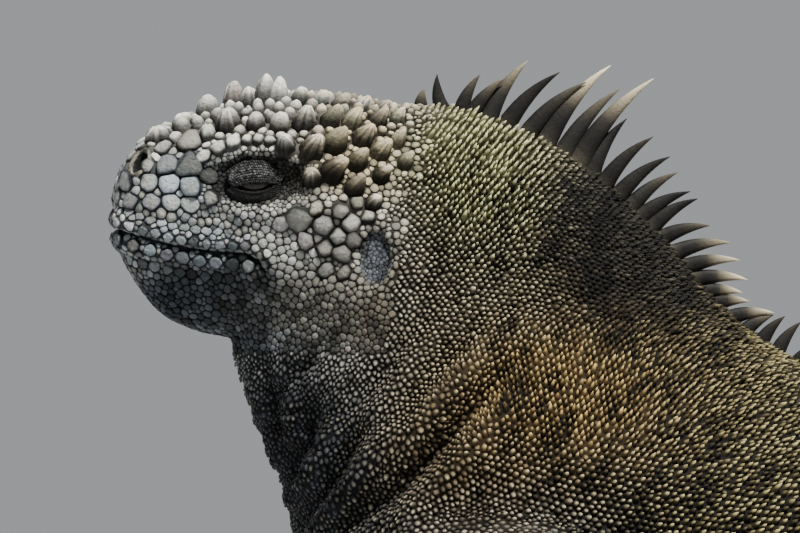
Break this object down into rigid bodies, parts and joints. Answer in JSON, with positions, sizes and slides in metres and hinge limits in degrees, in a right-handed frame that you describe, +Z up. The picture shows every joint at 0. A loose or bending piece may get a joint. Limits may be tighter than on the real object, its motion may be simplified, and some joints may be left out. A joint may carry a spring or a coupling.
{
  "type": "marine iguana figure",
  "caption": "Life-size marine iguana, chest raised on straight forelegs, head lifted, blunt tubercles on the crown, a crest of long spines from nape to tail tip, belly and tail on the ground",
  "frame": {"origin": "the middle of the flat under the belly, on the floor", "axes": "the head points along -X and the tail along +X, +Z is up, and the animal's left side is towards -Y"},
  "size_m": [0.9017, 0.36, 0.2161],
  "materials": {
    "head_skin": "dry, chalky scales",
    "body_skin": "rough keeled scales",
    "tail_skin": "rough keeled scales",
    "limb_skin": "fine dark scales",
    "foot_skin": "fine dark scales with horn claws",
    "eye": "wet gloss"
  },
  "bodies": {
    "root": {"head": "head_skin", "lower_jaw": "head_skin", "eye_left": "eye", "eye_right": "eye", "neck": "body_skin", "chest": "body_skin", "trunk": "body_skin", "tail_1_base": "tail_skin", "tail_2": "tail_skin", "tail_3": "tail_skin", "tail_4": "tail_skin", "tail_5_tip": "tail_skin", "upper_arm_left": "limb_skin", "forearm_left": "limb_skin", "forefoot_left": "foot_skin", "thigh_left": "limb_skin", "shin_left": "limb_skin", "hindfoot_left": "foot_skin", "upper_arm_right": "limb_skin", "forearm_right": "limb_skin", "forefoot_right": "foot_skin", "thigh_right": "limb_skin", "shin_right": "limb_skin", "hindfoot_right": "foot_skin"}
  },
  "joints": []
}
